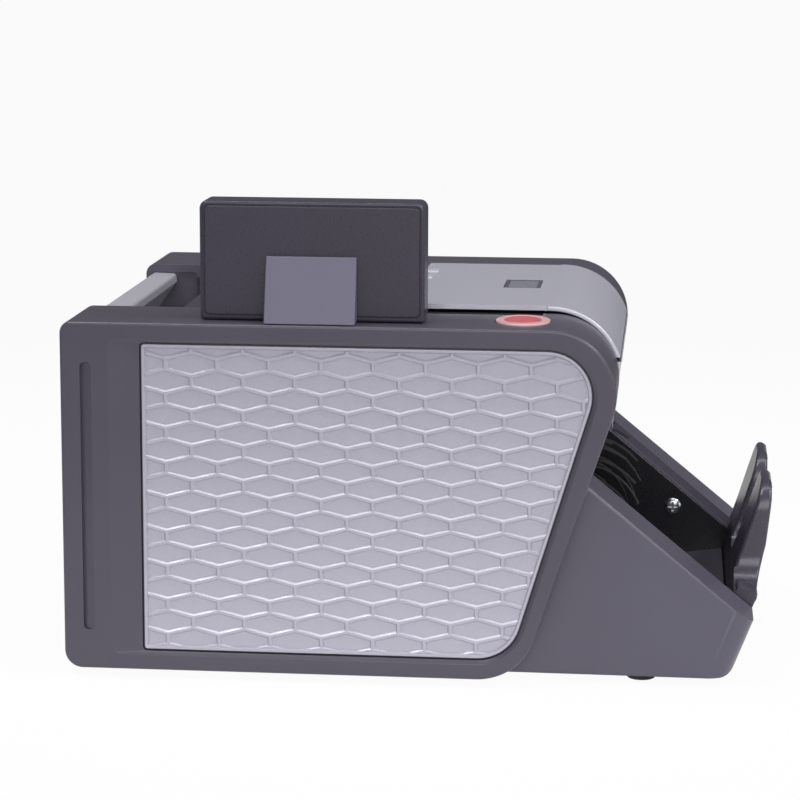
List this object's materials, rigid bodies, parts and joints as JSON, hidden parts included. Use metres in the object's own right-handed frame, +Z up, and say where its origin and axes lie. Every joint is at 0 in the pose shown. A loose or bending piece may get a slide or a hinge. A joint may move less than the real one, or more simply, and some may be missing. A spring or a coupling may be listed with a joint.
{
  "type": "banknote counter",
  "caption": "Desktop banknote counter with sloping hopper, feed rollers, bladed stacker wheels, finger stop, keypad and a folding customer display on its left side.",
  "frame": {"origin": "centre of the footprint, on the surface that the rubber feet stand on", "axes": "+Z up, -Y to the front where counted notes come out, -X the operator's left with the customer display"},
  "size_m": [0.28, 0.3519, 0.238],
  "materials": {
    "cover": "moulded ABS with a fine spark texture, dark violet grey",
    "inlay": "satin silver grey painted plastic",
    "silver": "satin silver painted plastic",
    "dark": "dark grey moulded plastic",
    "display": "dark satin moulded plastic",
    "bracket": "grey textured plastic",
    "keys": "pale grey key plastic",
    "black": "black moulded plastic",
    "red": "red gloss plastic",
    "window": "dark glossy window",
    "steel": "bright zinc plated steel",
    "painted_sheet": "dark powder coated sheet steel",
    "rubber": "black rubber",
    "circuit_board": "green solder resist"
  },
  "bodies": {
    "machine": {"side_cover_left": "cover", "side_cover_right": "cover", "inlay_left": "inlay", "inlay_right": "inlay", "bearing_plate_left": "painted_sheet", "bearing_plate_right": "painted_sheet", "base_plate": "painted_sheet", "rear_panel": "cover", "handle_bar": "silver", "front_cover": "silver", "count_window": "window", "control_board": "circuit_board", "hopper_plate": "dark", "front_guide": "dark", "retard_block": "rubber", "drive_motor": "steel", "motor_belt": "rubber", "stacker_belt": "rubber", "pickup_belt": "rubber", "chute_plate": "painted_sheet", "sensor_bar": "black", "stacker_bed": "dark", "stacker_side_left": "cover", "stacker_side_right": "cover", "stacker_screw_left": "steel", "stacker_screw_right": "steel", "stop_plate": "dark", "foot_front_left": "rubber", "foot_front_right": "rubber", "foot_rear_left": "rubber", "foot_rear_right": "rubber", "display_pin": "steel", "display_bracket": "bracket", "top_badge": "red", "power_inlet": "black", "main_board": "circuit_board", "transformer": "steel"},
    "key_1": {"key_1": "keys"},
    "key_2": {"key_2": "keys"},
    "key_3": {"key_3": "keys"},
    "key_4": {"key_4": "keys"},
    "key_5": {"key_5": "keys"},
    "rocker": {"rocker_switch": "black"},
    "knob": {"gap_knob": "black"},
    "left_guide": {"note_guide_left": "black"},
    "right_guide": {"note_guide_right": "black"},
    "display": {"display_shell": "display", "display_screen": "window"},
    "pickup_roller": {"pickup_shaft": "steel", "pickup_tyre_left": "rubber", "pickup_tyre_right": "rubber"},
    "feed_roller": {"feed_shaft": "steel", "feed_tyre_left": "rubber", "feed_tyre_right": "rubber", "feed_pulley": "black"},
    "stacker_rotor": {"stacker_shaft": "steel", "stacker_wheel_left": "rubber", "stacker_wheel_right": "rubber", "stacker_pulley": "black"},
    "motor_rotor": {"motor_pulley": "black"}
  },
  "joints": [
    {"name": "key_1_press", "type": "slide", "parent": "machine", "child": "key_1", "axis": [0, 1, 0], "range_m": [0, 0.0012], "stiffness_N_per_m": 400},
    {"name": "key_2_press", "type": "slide", "parent": "machine", "child": "key_2", "axis": [0, 1, 0], "range_m": [0, 0.0012], "stiffness_N_per_m": 400},
    {"name": "key_3_press", "type": "slide", "parent": "machine", "child": "key_3", "axis": [0, 1, 0], "range_m": [0, 0.0012], "stiffness_N_per_m": 400},
    {"name": "key_4_press", "type": "slide", "parent": "machine", "child": "key_4", "axis": [0, 1, 0], "range_m": [0, 0.0012], "stiffness_N_per_m": 400},
    {"name": "key_5_press", "type": "slide", "parent": "machine", "child": "key_5", "axis": [0, 1, 0], "range_m": [0, 0.0012], "stiffness_N_per_m": 400},
    {"name": "rocker_tilt", "type": "hinge", "parent": "machine", "child": "rocker", "pos_m": [0.012, 0.169, 0.032], "axis": [1, 0, 0], "range_deg": [0, 24]},
    {"name": "knob_turn", "type": "hinge", "parent": "machine", "child": "knob", "pos_m": [0, 0.025, 0.1793], "axis": [0, 0, 1], "range_deg": [-180, 180]},
    {"name": "left_guide_slide", "type": "slide", "parent": "machine", "child": "left_guide", "axis": [1, 0, 0], "range_m": [0, 0.012]},
    {"name": "right_guide_slide", "type": "slide", "parent": "machine", "child": "right_guide", "axis": [-1, 0, 0], "range_m": [0, 0.012]},
    {"name": "display_fold", "type": "hinge", "parent": "machine", "child": "display", "pos_m": [-0.112, 0.05275, 0.1835], "axis": [0, 1, 0], "range_deg": [0, 80]},
    {"name": "feed_turn", "type": "hinge", "parent": "machine", "child": "feed_roller", "pos_m": [0, 0.05053, 0.08513], "axis": [1, 0, 0], "continuous": true},
    {"name": "pickup_turn", "type": "hinge", "parent": "machine", "child": "pickup_roller", "pos_m": [0, 0.07247, 0.11032], "axis": [1, 0, 0], "continuous": true},
    {"name": "stacker_turn", "type": "hinge", "parent": "machine", "child": "stacker_rotor", "pos_m": [0, -0.06, 0.07], "axis": [1, 0, 0], "continuous": true},
    {"name": "motor_turn", "type": "hinge", "parent": "machine", "child": "motor_rotor", "pos_m": [-0.0935, 0.106, 0.049], "axis": [1, 0, 0], "continuous": true}
  ],
  "couplings": [
    {"joint": "pickup_turn", "follows": "feed_turn", "ratio": 1},
    {"joint": "stacker_turn", "follows": "feed_turn", "ratio": 0.73333},
    {"joint": "motor_turn", "follows": "feed_turn", "ratio": 1.6667}
  ]
}
